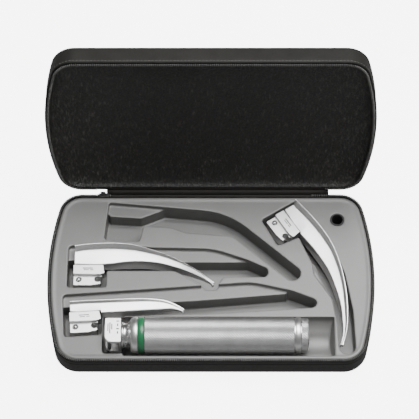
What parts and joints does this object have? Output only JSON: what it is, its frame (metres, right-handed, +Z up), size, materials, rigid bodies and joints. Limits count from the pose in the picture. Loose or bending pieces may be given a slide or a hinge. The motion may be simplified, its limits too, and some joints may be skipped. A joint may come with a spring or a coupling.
{
  "type": "cased laryngoscope set",
  "caption": "Fibre-optic laryngoscope in a zipped case: battery handle and curved hook-on blades in a moulded insert, with a hinged lid.",
  "frame": {"origin": "centre of the flat underside of the case base", "axes": "+X to the right of the open case along its length, +Y towards the hinge, +Z up"},
  "size_m": [0.2606, 0.1974, 0.1744],
  "materials": {
    "leatherette": "matte",
    "lid_lining": "matte",
    "zip_nylon": "satin",
    "flock": "matte",
    "black_plastic": "satin",
    "black_enamel": "satin",
    "chrome": "polished",
    "satin_steel": "satin",
    "knurled_steel": "satin",
    "spring_steel": "satin",
    "green_plastic": "satin",
    "cell_wrap": "satin",
    "glass": "polished",
    "rubber": "matte"
  },
  "bodies": {
    "case": {"case_base_shell": "leatherette", "zip_row_base": "zip_nylon", "hinge_strip": "leatherette", "insert_tray": "flock", "spare_lamp_socket": "black_plastic", "zip_slider": "black_enamel"},
    "lid": {"case_lid_shell": "leatherette", "lid_lining": "lid_lining", "zip_row_lid": "zip_nylon"},
    "zip_pull": {"zip_pull": "black_enamel"},
    "handle": {"handle_head": "chrome", "hook_pin": "chrome", "handle_neck": "chrome", "plunger_spring": "spring_steel", "green_ring": "green_plastic", "contact_base": "black_plastic", "handle_tube": "knurled_steel", "battery_1": "cell_wrap", "battery_2": "cell_wrap", "tube_end_band": "chrome"},
    "lamp": {"lamp_plunger": "black_plastic", "handle_lamp": "glass"},
    "battery_spring": {"battery_spring": "spring_steel"},
    "end_cap": {"end_cap": "knurled_steel", "cap_seal": "rubber"},
    "blade_3": {"blade_3_plate": "satin_steel", "blade_3_block": "chrome", "blade_3_ball_spring": "spring_steel", "blade_3_light_guide": "satin_steel"},
    "blade_3_ball": {"blade_3_ball": "chrome"},
    "blade_2": {"blade_2_plate": "satin_steel", "blade_2_block": "chrome", "blade_2_ball_spring": "spring_steel", "blade_2_light_guide": "satin_steel"},
    "blade_2_ball": {"blade_2_ball": "chrome"},
    "blade_1": {"blade_1_plate": "satin_steel", "blade_1_block": "chrome", "blade_1_ball_spring": "spring_steel", "blade_1_light_guide": "satin_steel"},
    "blade_1_ball": {"blade_1_ball": "chrome"}
  },
  "joints": [
    {"name": "lid_hinge", "type": "hinge", "parent": "case", "child": "lid", "pos_m": [0, 0.0763, 0.025], "axis": [-1, 0, 0], "range_deg": [-100.2, 79]},
    {"name": "zip_pull_hinge", "type": "hinge", "parent": "case", "child": "zip_pull", "pos_m": [-0.0876, 0.0764, 0.0251], "axis": [-1, 0, 0], "range_deg": [-55, 0]},
    {"name": "handle_lift", "type": "slide", "parent": "case", "child": "handle", "axis": [0, 0, 1], "range_m": [0, 0.06]},
    {"name": "lamp_plunger_slide", "type": "slide", "parent": "handle", "child": "lamp", "axis": [1, 0, 0], "range_m": [0, 0.0018], "stiffness_N_per_m": 600, "springref_m": -0.002, "deforming": ["plunger_spring"]},
    {"name": "cap_travel", "type": "slide", "parent": "handle", "child": "battery_spring", "axis": [1, 0, 0], "range_m": [0, 0.006]},
    {"name": "cap_turn", "type": "hinge", "parent": "battery_spring", "child": "end_cap", "pos_m": [0.0708, -0.0525, 0.0245], "axis": [1, 0, 0], "range_deg": [0, 1440]},
    {"name": "blade_3_lift", "type": "slide", "parent": "case", "child": "blade_3", "axis": [0, 0, 1], "range_m": [0, 0.06]},
    {"name": "blade_3_ball_press", "type": "slide", "parent": "blade_3", "child": "blade_3_ball", "axis": [0, 0, -1], "range_m": [0, 0.0006], "stiffness_N_per_m": 900, "springref_m": -0.001, "deforming": ["blade_3_ball_spring"]},
    {"name": "blade_2_lift", "type": "slide", "parent": "case", "child": "blade_2", "axis": [0, 0, 1], "range_m": [0, 0.06]},
    {"name": "blade_2_ball_press", "type": "slide", "parent": "blade_2", "child": "blade_2_ball", "axis": [0, 0, -1], "range_m": [0, 0.0006], "stiffness_N_per_m": 900, "springref_m": -0.001, "deforming": ["blade_2_ball_spring"]},
    {"name": "blade_1_lift", "type": "slide", "parent": "case", "child": "blade_1", "axis": [0, 0, 1], "range_m": [0, 0.06]},
    {"name": "blade_1_ball_press", "type": "slide", "parent": "blade_1", "child": "blade_1_ball", "axis": [0, 0, -1], "range_m": [0, 0.0006], "stiffness_N_per_m": 900, "springref_m": -0.001, "deforming": ["blade_1_ball_spring"]}
  ],
  "couplings": [
    {"joint": "cap_travel", "follows": "cap_turn", "m_per_rad": 0.00023873}
  ]
}
